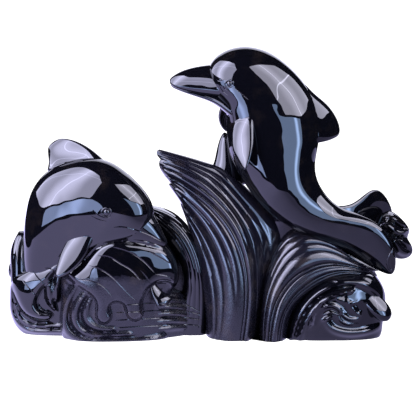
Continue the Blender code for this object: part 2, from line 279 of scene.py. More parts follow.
for name, rows in {
    "leaper_upper_jaw": [
        (9.5, 132, 12.5, 116, 0, 10.4),
        (4.5, 132.4, 6.5, 116.4, 0, 9.2),
        (-0.6, 132.4, 0, 117, 0, 7.8),
        (-7, 131.4, -6.2, 118, 0, 6.4),
        (-12.9, 129.8, -12.2, 119.4, 0, 5.2),
        (-17.6, 127.4, -16.9, 121, 0, 3.8),
        (-20, 125.4, -19.6, 122.8, 0, 2),
    ],
    "leaper_lower_jaw": [
        (14.5, 121, 13.5, 104.5, 0, 11.4),
        (8.5, 121.4, 8.6, 108.3, 0, 9.8),
        (3, 122, 3.4, 112.8, 0, 7.8),
        (-3.6, 122.2, -3.1, 115.9, 0, 6),
        (-9.8, 122.5, -9.6, 118, 0, 4.6),
        (-15.4, 123, -15.8, 120.2, 0, 3.2),
        (-19.4, 123.7, -19.2, 121.8, 0, 1.6),
    ],
}.items():
    drawn_out(name, flat_rows(rows), 13, sides=14, across=SIDEWAYS, boxy=0.85, flare=0.5)

# %% Its fins
drawn_out(
    "leaper_dorsal_fin",
    shell_rows(
        [
            (44.5, 125, 0, 48, 93, -8, 5),
            (51.6, 117.6, 2, 54, 94, -7, 3.6),
            (57, 113.2, 4, 58.6, 95.2, -4, 2.6),
            (60.5, 108.6, 5, 61.2, 96.4, -1, 2),
            (62.5, 103.9, 5, 62.7, 97.4, 1.5, 1.5),
            (63.1, 100.7, 4.5, 63.1, 98.6, 3, 0.7),
        ]
    ),
    10,
)
drawn_out(
    "leaper_near_flipper",
    shell_rows(
        [
            (13.2, 108, -8, 21, 109, -12, 2.6),
            (11.4, 101, -12.2, 21, 104, -17, 2.2),
            (10.8, 94.5, -15.2, 21, 97.5, -20.2, 1.8),
            (11.4, 88.5, -18.4, 20.6, 91, -23, 1.5),
            (13.6, 83.4, -21.6, 19, 84.8, -25.2, 1.1),
            (16, 79.8, -25, 17.2, 80.4, -26.4, 0.5),
        ]
    ),
    12,
    boxy=0.8,
)
drawn_out(
    "leaper_far_flipper",
    shell_rows(
        [
            (6, 114, 9, 16, 112, 12, 2.6),
            (4.4, 109.5, 13, 14, 108, 16, 2.4),
            (4.3, 105.5, 15.5, 12, 104, 18, 2),
            (5.8, 102, 17, 10.5, 101.5, 18.5, 1.4),
            (7.6, 100.2, 18, 8.4, 100, 18.2, 0.6),
        ]
    ),
    9,
)
drawn_out(
    "leaper_far_fluke",
    shell_rows(
        [
            (62, 62.5, 2, 64.5, 52.5, 4, 2),
            (69.6, 63.4, 4, 73, 50, 7, 2.2),
            (74.4, 66.4, 6.5, 78, 49.5, 10, 2.2),
            (78.9, 69.9, 9, 82.8, 50.5, 13.5, 2),
            (82.6, 70.9, 11, 86.6, 53, 15.5, 1.8),
            (86.4, 68.4, 13, 89.2, 56, 16.5, 1.5),
            (89.1, 64.2, 14.5, 90.4, 58.6, 17, 1.2),
            (90.4, 61.3, 16, 90.7, 60, 17.2, 0.6),
        ]
    ),
    14,
)

# %% [markdown]
# ## The diving dolphin
#
# Only its back, head and near flipper stand out of the water. The head turns to the front, so the body moves
# forward as it goes from the tail to the beak.

# %% The diving dolphin
drawn_out(
    "diver_body",
    flat_rows(
        [
            (-27, 58, -29, 53, -17.6, 2.5),
            (-28.2, 64, -34, 48, -17.2, 8.4),
            (-39.4, 77.8, -45, 42.5, -15.6, 13.6),
            (-53.6, 85.8, -54, 37.5, -12.4, 16),
            (-66.5, 85.2, -60.5, 33.5, -8.8, 17.6),
            (-77.4, 81.2, -66.5, 29.5, -5.4, 18.2),
            (-87, 71.3, -71.5, 24.5, -2.8, 18.4),
            (-91.4, 54, -76, 19.5, -1.2, 17.4),
            (-92.6, 34, -79.5, 13.5, -1, 14.5),
            (-88.5, 17, -80.5, 9, -1, 9),
        ]
    ),
    24,
    sides=16,
    across=SIDEWAYS,
    boxy=0.92,
)
drawn_out(
    "diver_beak",
    flat_rows(
        [
            (-36.5, 70, -50, 40, -15.6, 12),
            (-31.4, 64.6, -44.5, 41.5, -16.4, 10),
            (-27.6, 59, -38, 42, -17.2, 8),
            (-24.8, 53.6, -31.5, 42, -18, 6),
            (-22.6, 48.8, -26, 41.8, -18.8, 4),
            (-20.4, 44.4, -21.8, 42, -19.4, 1.6),
        ]
    ),
    11,
    across=SIDEWAYS,
)
drawn_out(
    "diver_dorsal_fin",
    shell_rows(
        [
            (-46.4, 78, -15, -80, 78.5, -3, 5),
            (-50, 83.2, -12, -79, 83, -0.5, 4),
            (-55.2, 88.2, -8.4, -79.2, 86.6, 1.6, 3),
            (-61.6, 92.8, -5, -79.6, 90.2, 3, 2.4),
            (-69, 95.8, -1.6, -78.6, 93, 3.8, 1.8),
            (-73.5, 96.2, 0.6, -76, 95.2, 4, 0.9),
        ]
    ),
    11,
    boxy=0.8,
)
LIFT = 0.17  # how much a flipper rises for every mm that it reaches out
for name, side, back in (("diver_near_flipper", 1, 0), ("diver_far_flipper", -1, -4)):
    drawn_out(
        name,
        [
            ((x, side * (y - back), h - y * LIFT), (u, side * (v - back), w - v * LIFT), half)
            for x, h, y, u, w, v, half in [
                (-62, 54, -18.6, -53.5, 52, -22.6, 3),
                (-67, 49, -20.4, -56.6, 46.4, -25.6, 2.4),
                (-70.6, 43.2, -22.6, -59.6, 40, -27.4, 1.8),
                (-73, 37, -24.8, -63.6, 33.8, -28.6, 1.5),
                (-74.6, 31.2, -26.8, -69.2, 29, -29.2, 1.2),
                (-75.2, 28, -28.2, -73.6, 27.2, -29.2, 0.6),
            ]
        ],
        12,
        boxy=0.85,
    )

# %% [markdown]
# ## Relief strokes
#
# A carver gives water its shape with strokes of the burr. Each stroke here is a line on the front drawing
# with a width. A roll and a ridge stand up, a groove is cut in, and a plate raises all that lies inside an
# outline. The strokes only say how far the face moves towards the viewer.

# %% Strokes
FINE = 0.6  # mm between the places at which a stroke is read
BESIDE = 6  # mm beside a stroke in which points are measured
OUT_OF_REACH = 99.0
NARROWEST = 0.1
NEVER_ZERO = 1e-9
PLATE_EDGE, ROLL_TOP, RIDGE_TOP = 2.2, 1.2, 1.3  # powers that round the sections of the strokes


def closest(points, line):
    """For every point, its distance from a line of x, height, width, and half the width there."""
    line = evenly(line, max(8, count_for(line, FINE)))
    gap = np.full(len(points), OUT_OF_REACH)
    half = np.ones(len(points))
    low, high = line[:, :2].min(axis=0) - BESIDE, line[:, :2].max(axis=0) + BESIDE
    near = np.flatnonzero(np.all((points > low) & (points < high), axis=1))
    for a, b in zip(line, line[1:]):
        run = b[:2] - a[:2]
        share = np.clip((points[near] - a[:2]) @ run / max(run @ run, NEVER_ZERO), 0, 1)
        far = np.linalg.norm(points[near] - a[:2] - share[:, None] * run, axis=1)
        closer = far < gap[near]
        gap[near[closer]] = far[closer]
        half[near[closer]] = np.maximum(a[2] + share[closer] * (b[2] - a[2]), NARROWEST) / 2
    return gap, half


def inside_by(points, outline):
    """How far inside a closed outline of x, height each point lies, in mm. Outside it is less than zero."""
    ring = [(x, h, 1) for x, h in [*outline, outline[0]]]
    gap, _ = closest(points, ring)
    corners = evenly(ring, count_for(ring, FINE))[:, :2]
    crossed = np.zeros(len(points), bool)
    for (x, h), (u, w) in zip(corners, corners[1:]):
        level = (h > points[:, 1]) != (w > points[:, 1])
        crossed ^= level & (points[:, 0] < (u - x) * (points[:, 1] - h) / ((w - h) or NEVER_ZERO) + x)
    return np.where(crossed, gap, -gap)


def relief_of(points, strokes):
    """How far the strokes raise the points, in mm. A stroke is a kind, a height, a line and maybe a bevel."""
    raised, added, cut = np.zeros((3, len(points)))
    for kind, size, line, *bevel in strokes:
        if kind == "plate":
            share = np.clip(inside_by(points, line) / bevel[0], 0, 1)
            raised = np.maximum(raised, size * (1 - (1 - share) ** PLATE_EDGE))
            continue
        gap, half = closest(points, line)
        share = np.clip(1 - (gap / half) ** 2, 0, 1)
        if kind == "roll":
            raised = np.maximum(raised, size * share**ROLL_TOP)
        elif kind == "ridge":
            added += size * share**RIDGE_TOP
        else:
            cut = np.maximum(cut, size * np.clip(1 - gap / half, 0, 1))
    return raised + added - cut


def grooves(depth, width, *lines):
    """Strokes that cut every line to the same depth and width."""
    return [("groove", depth, [(x, h, width) for x, h in line]) for line in lines]


# %% [markdown]
# ## Ribbed water
#
# A sheet of water starts as a flat grid. Its columns follow strands drawn from the ground to the tips, and
# each rib swells between two grooves, as a round-nosed burr leaves it. Extruding the grid to the back gives
# the sheet its depth and the same ribs on the far side.

# %% A fan of ribs
def rib_columns(ribs, spacing):
    """Where the columns of a sheet lie, as a share of its width, of their rib, and which rib it is."""
    bounds = np.concatenate([[0.0], np.cumsum(ribs)]) / np.sum(ribs)
    across, share, number = [], [], []
    for i, width in enumerate(ribs):
        count = max(5, round(width / spacing))
        for k in range(count):
            across.append(bounds[i] + (bounds[i + 1] - bounds[i]) * k / count)
            share.append(k / count)
            number.append(i)
    return np.array(across + [1.0]), np.array(share + [0.0]), np.array(number + [len(ribs) - 1])


# Each pair is where something begins and over what length it grows, as shares of the sheet.
TIP_THINS, LOBES_SWELL, RIBS_PART, SHEET_DROPS = (0.9, 0.1), (0.8, 0.2), (0.22, 0.25), (0.6, 0.4)
RIB_HEIGHT, RIB_TOP, RIB_LEAN = 0.7, 0.6, 1.15  # powers of a rib's width, of its section and of the place
LEAST_HALF = 0.3  # mm that is added everywhere, so that stone is left at the edges too


def grown(values, begin, length):
    """Nothing up to the beginning, and from there evenly up to 1."""
    return np.clip((values - begin) / length, 0, 1)


def fanned(
    name, strands, middle, halves, ribs, rows, relief, splits=None, back=0.9, lobes=(), strokes=(),
    spacing=0.45, finish=POLISHED, drop=0.0,
):
    """A sheet along the strands. halves is half its depth from the ground up, ribs are widths in mm.

    splits says into how many narrower ribs each one parts on its way up, drop how far the sheet falls back
    towards its last strand, and lobes where the tip reaches out, as two shares of the width and mm.
    """
    across, share, rib = rib_columns(ribs, spacing)
    columns = len(across)
    splits = splits or [1] * len(ribs)
    steps = np.linspace(0, 1, 121)
    lines = np.stack([evenly(strand, len(steps)) for strand in strands])
    plan = bent_ruler(np.linspace(0, 1, len(strands)), lines, across)
    u = 1 - (1 - np.linspace(0, 1, rows)) ** 1.1
    crown = (1 - np.abs(2 * across - 1) ** 3) ** (1 / 3)
    crown *= 1 - drop * grown(across, *SHEET_DROPS) ** 1.2
    end = np.sqrt(np.clip(1 - grown(u, *TIP_THINS) ** 2, 0.03, 1))
    points = np.zeros((rows, columns, 3))
    for j in range(columns):
        fade = (0.75 + 0.25 * np.sin(6 * u + 2.4 * rib[j])) * (1 + 0.3 * math.sin(5.1 * rib[j]))
        depth = bent_ruler(np.linspace(0, 1, len(halves)), halves, u) * crown[j]
        width, parts = ribs[rib[j]], splits[rib[j]]
        broad = width**RIB_HEIGHT * math.sin(math.pi * share[j]) ** RIB_TOP
        leaning = abs(math.sin(math.pi * parts * share[j] ** RIB_LEAN))
        narrow = (width / parts) ** RIB_HEIGHT * leaning**RIB_TOP
        parted = grown(u, *RIBS_PART) * (parts > 1)
        depth += relief * fade * (broad * (1 - 0.7 * parted) + narrow * parted)
        points[:, j, 0] = np.interp(u, steps, plan[j, :, 0])
        points[:, j, 1] = depth * end + LEAST_HALF
        points[:, j, 2] = np.interp(u, steps, plan[j, :, 1])
    for low, high, reach in lobes:
        swell = np.sin(math.pi * grown(across, low, high - low)) ** 0.7
        ahead = points[-1, :, [0, 2]] - points[-6, :, [0, 2]]
        ahead /= np.linalg.norm(ahead, axis=0)
        tip = grown(u, *LOBES_SWELL) ** 1.5
        points[:, :, 0] += reach * tip[:, None] * swell * ahead[0]
        points[:, :, 2] += reach * tip[:, None] * swell * ahead[1]
    front = points.copy()
    flat = points[:, :, [0, 2]].reshape(-1, 2)
    raised = relief_of(flat, strokes).reshape(rows, columns) * end[:, None]
    front[:, :, 1] = middle - points[:, :, 1] - raised
    front[:, :, 2] -= front[:, :, 1] * SLOPE
    far = middle + back * (points[:, :, 1] + 0.6 * np.maximum(raised, 0))
    grid = bpy.ops.mesh.primitive_grid_add
    sheet = primitive(grid, name, x_subdivisions=columns - 1, y_subdivisions=rows - 1, size=1)
    bpy.ops.object.mode_set(mode="EDIT")
    bpy.ops.mesh.select_all(action="SELECT")
    bpy.ops.mesh.extrude_region_move(TRANSFORM_OT_translate={"value": (0, 0, 1)})
    bpy.ops.object.mode_set(mode="OBJECT")
    for vert in sheet.data.vertices:
        i, j = round((vert.co.y + 0.5) * (rows - 1)), round((vert.co.x + 0.5) * (columns - 1))
        y = far[i, j] if vert.co.z > 0.5 else front[i, j, 1]
        vert.co = Vector((front[i, j, 0], y, front[i, j, 2])) * MM
    turn_faces_out()
    mark_finish(sheet, finish)
    keep_in(sheet, forms)


# %% The splash
fanned(
    "splash",
    [
        [(-2, -7), (-3.5, 15.5), (-7.5, 38), (-9.5, 47), (-11.2, 53.5)],
        [(4.5, -7), (6.5, 20), (2.5, 37), (-4.5, 51), (-14.2, 63.8)],
        [(11, -7), (13, 26), (6.5, 46), (-5, 61), (-18.2, 72)],
        [(17, -7), (19.5, 28), (13, 50), (0, 66), (-12, 74.5), (-21, 78.5)],
        [(21, -7), (24, 25), (21.5, 45), (13, 61), (-1, 75), (-12, 81.5), (-24, 85.5)],
        [
            (25, -7), (31, 24), (36.5, 43), (34.5, 54), (27.9, 62.5),
            (18.8, 70.8), (9.1, 79.6), (-2, 84.2), (-12, 87.2), (-24.8, 90.6),
        ],
    ],
    middle=-2,
    halves=(22.5, 22, 20.5, 17.5, 13, 8.5, 3.5),
    ribs=(3.4, 2.4, 9.4, 1.6, 6.6, 2.6, 1.6, 3),
    splits=(1, 1, 2, 1, 2, 1, 1, 1),
    rows=76,
    back=0.72,
    drop=0.7,
    relief=0.45,
    spacing=0.38,
    lobes=((0, 0.2, 2.6), (0.2, 0.44, 3.8), (0.44, 0.8, 3), (0.8, 1, 1.6)),
    strokes=[
        ("ridge", 1, [(-23.4, 84.4, 1.6), (-21.9, 79.5, 3), (-19.7, 75.2, 3), (-18.4, 72, 1.6)]),
        ("ridge", 1, [(-18.4, 72, 1.6), (-17, 68.4, 3), (-14.6, 65, 2.6), (-12.6, 62, 1.2)]),
        ("ridge", 0.8, [(-13.6, 62, 1.4), (-12.4, 58, 2.6), (-11, 54, 1.4)]),
    ],
    finish=GROUND,
)
drawn_out(
    "splash_plume",
    flat_rows(
        [
            (-4, 76, 18, 72, 3, 9),
            (1.5, 83, 16.5, 81, 4, 7),
            (3, 89, 14, 87.5, 5, 5.6),
            (4, 93.5, 12, 93, 5.5, 4.2),
            (5.4, 97.6, 9.6, 97.4, 6, 2.4),
            (6.6, 99.4, 7.8, 99.4, 6, 0.8),
        ]
    ),
    11,
)

# %% The other waves
fanned(
    "right_wave",
    [
        [(38, -7), (41, 9.3), (51.5, 20.3), (66, 26.3), (82.5, 27.5)],
        [(34.5, -7), (38.5, 11.3), (49, 21.8), (62.5, 28.3), (82, 28)],
        [(31, -7), (35.5, 13), (45, 24.8), (58, 30.8), (81.5, 28.8)],
        [(27.5, -7), (31.5, 17), (41, 29.5), (53.5, 35.3), (66.5, 34.3), (81, 29.5)],
        [(25, -7), (29, 26), (36, 37.5), (48, 44.5), (62, 41.5), (73, 34.5), (82, 30)],
        [
            (23, -7), (26, 25), (32.5, 42), (38, 48.5), (44.3, 51),
            (54.2, 49.5), (63.1, 42.5), (69, 37), (76.4, 33.2), (83, 30),
        ],
    ],
    middle=-4,
    halves=(22, 21, 19.5, 17.5, 15.5, 13, 9),
    ribs=(2.6, 4.8, 1.8, 5.4, 1.6, 4.6, 2.2, 3.6, 2.5),
    splits=(1, 1, 1, 2, 1, 1, 1, 1, 1),
    drop=0.5,
    rows=54,
    relief=0.45,
    finish=GROUND,
)
fanned(
    "rear_hump",
    [
        [(-18, -7), (-15, 15), (-14, 29), (-20, 42), (-31, 56)],
        [(-9, -7), (-7, 16), (-8, 33), (-16, 49), (-31, 59.5)],
        [(-1, -7), (0, 16), (-3.5, 36), (-10.5, 50), (-18, 57.5), (-31, 62.3)],
    ],
    middle=2,
    halves=(14, 14, 13.5, 12.5, 10, 6),
    ribs=(5, 2.6, 2.2, 2.8, 2.4),
    rows=34,
    relief=0.2,
)
fanned(
    "left_wave",
    [
        [(-88, -3), (-95.5, 4), (-98.6, 14), (-98.9, 30), (-98.2, 42), (-94.6, 49.6)],
        [(-80, -3), (-85, 6), (-87, 16), (-87.5, 30), (-87.5, 42), (-88, 50)],
    ],
    middle=3,
    halves=(11, 12, 11, 8, 4),
    ribs=(2.4, 3, 2, 3),
    rows=26,
    relief=0.25,
)

# %% [markdown]
# ## Rolling waves
#
# Where a wave breaks it is a rounded boss with a flat face, and the curls are carved into that face in low
# relief. A ball makes a good start: its equator is pressed into the outline of the wave, its front is
# flattened, and the strokes then raise and cut the face. The back gets only the large strokes.

# %% A wave from a ball
FLATNESS = 2.8  # two would be a round dome
RIM_CROWDING = 1.35  # above one, the rings of the ball lie closer near the rim
RIM_WIDTH = 0.08  # share of the way inwards over which the strokes grow from nothing
BACK_SHARE = 0.7  # how much of their height the large strokes keep at the back


def breaker(name, outline, centre, front, back, strokes, large, segments, rings, finish=POLISHED, shine=None):
    """outline is rows of x, height, depth of the rim. front is rows of x and depth y of the face.

    What lies inside the outline shine is polished, also when the finish is ground.
    """
    sphere = bpy.ops.mesh.primitive_uv_sphere_add
    ball = primitive(sphere, name, segments=segments, ring_count=rings, radius=1)
    co = np.zeros(len(ball.data.vertices) * 3)
    ball.data.vertices.foreach_get("co", co)
    x, y, z = co.reshape(-1, 3).T
    turn = np.arctan2(y, x) % math.tau / math.tau * segments
    reach = 1 - (np.abs(np.arcsin(np.clip(z, -1, 1))) / (math.pi / 2)) ** RIM_CROWDING
    rim = evenly([*outline, outline[0]], segments + 1)[np.rint(turn).astype(int) % segments]
    plan = centre + reach[:, None] * (rim[:, :2] - centre)
    dome = (1 - reach**FLATNESS) ** (1 / FLATNESS)
    near_rim = np.clip((1 - reach) / RIM_WIDTH, 0, 1)
    face = np.interp(plan[:, 0], *zip(*front))
    depth = rim[:, 2] + (face - rim[:, 2]) * dome - relief_of(plan, strokes) * near_rim
    rear = rim[:, 2] + (back - rim[:, 2]) * dome + BACK_SHARE * relief_of(plan, large) * near_rim
    is_front = z >= 0
    depth = np.where(is_front, depth, rear)
    height = plan[:, 1] - np.where(is_front, depth, rim[:, 2]) * SLOPE
    ball.data.vertices.foreach_set("co", (np.stack([plan[:, 0], depth, height], axis=1) * MM).ravel())
    bpy.ops.object.mode_set(mode="EDIT")
    bpy.ops.mesh.select_all(action="SELECT")
    bpy.ops.mesh.vertices_smooth(factor=0.5, repeat=3)
    turn_faces_out()
    mark_finish(ball, finish)
    if shine:
        middles = np.array([polygon.center[:] for polygon in ball.data.polygons]) / MM
        drawn = np.stack([middles[:, 0], middles[:, 2] + middles[:, 1] * SLOPE], axis=1)
        inside = inside_by(drawn, shine) > 0
        ball.data.attributes["finish"].data.foreach_set("value", np.where(inside, POLISHED, finish))
    keep_in(ball, forms)


# %% The wave under the diving dolphin
crest_sheet = [
    (-66, 24), (-73, 33), (-62, 46), (-46, 55), (-28, 51), (-13, 41), (-11, 25),
    (-16.7, 22.6), (-21.1, 24.8), (-26.1, 24.2), (-29.9, 21.2), (-32, 17.6), (-33, 14.1), (-32.7, 11),
    (-33.2, 7.7), (-36.1, 5.6), (-39.6, 6.8), (-41, 10), (-41.8, 13), (-44.9, 14.8), (-48.4, 13.4),
    (-48.6, 10.8), (-47.6, 8.2), (-48.7, 5.4), (-51.2, 4.2), (-54.5, 6), (-55.5, 9), (-55.2, 12.4),
    (-56.4, 16.6), (-59.6, 19.6),
]
coils = [
    ("roll", 2.6, [(-63.5, 25.5, 1.6), (-67, 20.5, 3.4), (-69.8, 15.4, 4.6), (-71.4, 9.6, 5.2),
                   (-71.4, 4.4, 5.2), (-69.4, 0, 5), (-65.6, -2.7, 4.6), (-60.5, -3.9, 4),
                   (-51.2, -4.3, 3.6), (-38.7, -4.1, 3.2), (-27, -3.4, 2.8), (-18, -2.4, 2.4)]),
    ("roll", 2.4, [(-58.5, 21.5, 1.4), (-62, 17.8, 3.4), (-64.6, 14, 4.2), (-66, 10, 4.8), (-65.8, 5.6, 4.8),
                   (-63.5, 1.6, 4.4), (-59.8, -0.6, 3.8), (-55, -1.4, 3),
                   (-48.1, -1.5, 2.6), (-38.7, -1, 2.2)]),
    ("roll", 2, [(-57, 19, 1.2), (-59.3, 14.6, 3.2), (-60.5, 10, 4), (-59.7, 5.9, 4), (-56.9, 3.2, 3.4),
                   (-52.5, 1.7, 2.4), (-46.5, 1.6, 1.4)]),
]
breaker(
    "diver_wave",
    [
        (-74, 8, -14), (-73.4, 18, -13), (-73, 29, -11), (-68.8, 33, -11), (-64.6, 36.2, -11),
        (-61.4, 40.2, -11), (-58.9, 43.2, -11), (-54.3, 47.2, -11), (-49.6, 49.6, -11), (-43.3, 50.6, -11),
        (-37.6, 49.4, -11.5), (-30.4, 48.2, -12), (-24.7, 45.6, -13), (-20.7, 43, -14.5),
        (-18.3, 39.5, -15.5),
        (-16.2, 35.5, -16.5), (-15.2, 30.5, -17), (-15.2, 25.4, -17), (-18.5, 20, -14), (-20, 12, -12),
        (-20, 4, -12), (-21, -8, -12), (-32, -11.5, -14), (-50, -12, -15),
        (-64, -10, -14), (-72.5, -3, -14),
    ],
    (-46, 16),
    ((-74, -26.4), (-55, -27), (-40, -26), (-26, -24), (-15, -21)),
    26.0,
    [
        ("plate", 3.8, crest_sheet, 2),
        *coils,
        ("ridge", 1.3, [(-62, 35.5, 1.6), (-58.6, 40.2, 3), (-53.6, 44.8, 3.8), (-48.6, 47.1, 4.2),
                        (-41.9, 47.6, 4.4), (-35.2, 46.4, 4.2), (-28.6, 44.8, 3.6), (-22, 42, 1.8)]),
        ("ridge", 0.5, [(-55.6, 12, 1), (-54.6, 7.2, 1.4), (-51.2, 5.4, 1.6),
                        (-48.6, 7.6, 1.4), (-49.2, 12.6, 1)]),
        ("ridge", 0.5, [(-41.4, 12.6, 1), (-39.2, 8, 1.4), (-36.1, 6.8, 1.6),
                        (-34, 8.6, 1.4), (-33.6, 13.6, 1)]),
        ("ridge", 0.9, [(-21.5, 41, 1), (-18.4, 37, 2), (-16.8, 31, 2.2), (-16.6, 26, 1.4)]),
        ("roll", 1.6, [(-24, 18.6, 1.2), (-25.3, 14.1, 2.4), (-25, 11.2, 3),
                       (-23.6, 9.8, 2.6), (-20, 10.2, 1.6)]),
        *grooves(
            1.2,
            1.8,
            [(-59.1, 37.5), (-52.9, 42.7), (-47.7, 44.7), (-40, 44.9), (-32.4, 43.6),
             (-25.7, 42.1), (-21.4, 40.5)],
            [(-63, 18.4), (-66.6, 14.7), (-68.7, 9.6), (-68.6, 5), (-66.2, 0.6), (-62.2, -2.4),
             (-51.2, -2.9), (-34, -2.6)],
            [(-59.4, 17.2), (-62.2, 12.8), (-63.4, 9), (-62.4, 5), (-59.4, 1.6), (-54.4, 0.2), (-46.1, 0.4)],
        ),
    ],
    [*coils, ("plate", 3, [(-66, 24), (-73, 33), (-46, 55), (-13, 41), (-11, 25),
                           (-30, 20), (-44, 13), (-58, 18)], 3)],
    segments=168,
    rings=88,
    finish=GROUND,
    shine=[(-78, 28), (-66, 58), (-14, 58), (-6, 25), (-24, 24), (-40, 28), (-58, 27)],
)
wave_lines = [
    [(-47.6, 42.4), (-41.4, 40.7), (-35.7, 38), (-30.4, 33.6), (-27.1, 29.8)],
    [(-54.3, 38), (-48.6, 37.3), (-43.3, 34.1), (-39.1, 31.7), (-33.8, 25.9)],
    [(-58.8, 33.2), (-52.9, 31.2), (-48.1, 28.1), (-41.8, 21.8), (-36.2, 16)],
    [(-64.4, 26.2), (-57.5, 25.6), (-51.2, 22.4), (-47.4, 17.9)],
    [(-29.5, 39.9), (-23.8, 37), (-18.5, 33.6)],
    [(-33.6, 30.7), (-31, 27.5), (-28.6, 23.7)],
    [(-26.1, 28.8), (-19.8, 27.5), (-16.6, 24.7)],
    [(-92.4, 26.2), (-87.4, 20.7), (-83.8, 17.1)],
    [(-86.5, 30.4), (-82.9, 25.8), (-79.6, 23)],
    [(-80.6, 31.8), (-77.5, 31.3), (-75.2, 29.2)],
]

# %% Layers, the low wave and the tail wave
strata = [
    [(-47, 5.3), (-38, 16), (-32.8, 18), (-19.7, 17.6), (-14.5, 16.9), (-9.2, 14.6), (-5.6, 11.6)],
    [(-42, 13.6), (-30, 14.4), (-19.7, 14.2), (-12.2, 13.4), (-5, 9.6)],
    [(-46, 9.8), (-30, 10.6), (-19.7, 10.8), (-12.2, 10.4), (-4.5, 8)],
    [(-46, 6), (-30, 6.8), (-19.7, 7.1), (-12.2, 6.9), (-4, 5.6)],
    [(-46, 2.2), (-30, 3), (-19.7, 3.3), (-12.2, 3.4), (-3.6, 2.6)],
    [(-46, -1.4), (-30, -0.8), (-19.7, -0.3), (-12.2, 0.2), (-3.6, -0.2)],
]
LAYER_HEIGHT, LAYER_WIDTH = 1.3, 3.6
layers = []
for low, high in zip(strata, strata[1:]):
    between = (evenly(low, 12) + evenly(high, 12)) / 2
    layers.append(("roll", LAYER_HEIGHT, [(x, h, LAYER_WIDTH) for x, h in between]))
breaker(
    "layered_foot",
    [
        (-54, 8, -8), (-46, 17, -8), (-33, 20.6, -8), (-20, 20.8, -6), (-11, 18, -3),
        (-5, 13, -1), (-3, 6, 1), (-3.4, -3, 2), (-9, -7, -2), (-30, -9, -8), (-50, -8, -10),
    ],
    (-24, 7),
    ((-54, -23), (-32, -22.5), (-20, -18.5), (-10, -12), (-4, -6)),
    20.0,
    [*layers, *grooves(0.9, 2, *strata)],
    layers,
    segments=112,
    rings=60,
    finish=GROUND,
)
claw = [
    (-98.5, 24), (-96.4, 18), (-94.2, 12.6), (-91.4, 8.8), (-87.4, 6.3), (-82, 5.4), (-77.8, 6.6),
    (-76.8, 8.8),
    (-80, 9.8), (-83.4, 11.6), (-84.6, 14.6), (-83.4, 18), (-81.3, 21.3), (-78.6, 23.9), (-76, 28),
    (-72, 30), (-64, 30), (-64, 42), (-82, 40), (-98, 34),
]
low_curls = [
    ("roll", 3, [(-79.4, 26, 5), (-78.7, 21.5, 5.4), (-78.2, 17, 4.8), (-77.2, 13.4, 3.4), (-76, 11.2, 1.6)]),
    ("roll", 3.4, [(-73.4, 30, 4.2), (-74.3, 25, 4.6), (-75, 21, 4.2), (-75.2, 18, 3.4), (-75.3, 15.6, 1.6)]),
    ("roll", 1.8, [(-97.8, 22, 1.6), (-98, 15, 2.6), (-96.8, 8, 3), (-93.4, 3.2, 3.2), (-88.7, 0.6, 3.2),
                   (-80.6, 0, 3.2), (-71, 0, 3)]),
    ("roll", 1.8, [(-95.4, 13, 1.6), (-94, 8, 2.4), (-90.6, 4.4, 2.8), (-86.4, 2.8, 2.8), (-80.6, 2.8, 2.6),
                   (-72, 2.8, 2.2)]),
]
breaker(
    "low_wave",
    [
        (-99, 18, -3), (-98.4, 24, -3), (-95.6, 27.6, -4), (-91.6, 30.2, -5), (-87, 32.4, -6),
        (-82.6, 33.4, -7), (-77.6, 35, -8), (-72.8, 38.6, -9), (-66, 38, -10), (-63, 28, -10),
        (-63, 12, -10), (-64, -2, -10), (-72, -4, -8), (-82, -4, -6), (-90.6, -2.6, -4),
        (-95.6, 1.4, -3), (-98.2, 6.6, -3), (-99.2, 12, -3),
    ],
    (-82, 15),
    ((-99, -12), (-90, -15), (-80, -16.5), (-64, -17)),
    19.0,
    [
        ("plate", 4.2, claw, 3.4),
        *low_curls,
        *grooves(
            0.8,
            1.7,
            [(-96.9, 11.5), (-95.2, 6.7), (-91.7, 2.8), (-87.4, 1.4), (-80.6, 1.4), (-72, 1.3)],
            [(-94.6, 11.1), (-92.7, 7.2), (-89.2, 4.6), (-85.2, 3.9), (-80.6, 4.2), (-75.7, 4.2)],
        ),
    ],
    [low_curls[0], *low_curls[2:], ("plate", 3.6, claw, 3.4)],
    segments=128,
    rings=68,
)
tail_curls = [
    ("roll", 2.4, [(39, -5, 3), (41.5, 4, 4.2), (45.3, 12.4, 4.6), (51.5, 19, 4.6),
                   (60, 23.4, 4), (70, 25, 2.4)]),
    ("roll", 2.2, [(43.6, -5, 3), (45.4, 2.6, 3.8), (48.8, 9.4, 4), (54.4, 15.2, 3.8),
                   (61.5, 18.8, 3.2), (69, 20.6, 1.8)]),
    ("roll", 2.8, [(84, 3.4, 1.4), (81, 1.6, 3.2), (76.7, 0.4, 4.2), (69.5, -0.5, 4.6), (62.8, 0.3, 4.8),
                   (58.2, 2.9, 4.4), (56.6, 6, 3.4), (58.4, 8.2, 1.4)]),
    ("plate", 3, [(54, 27), (62, 33), (82, 33), (91, 20), (89, 11), (84.2, 12.6), (81.6, 16.8),
                    (77, 20.4), (70, 22.8), (61, 23.8)], 2.6),
]
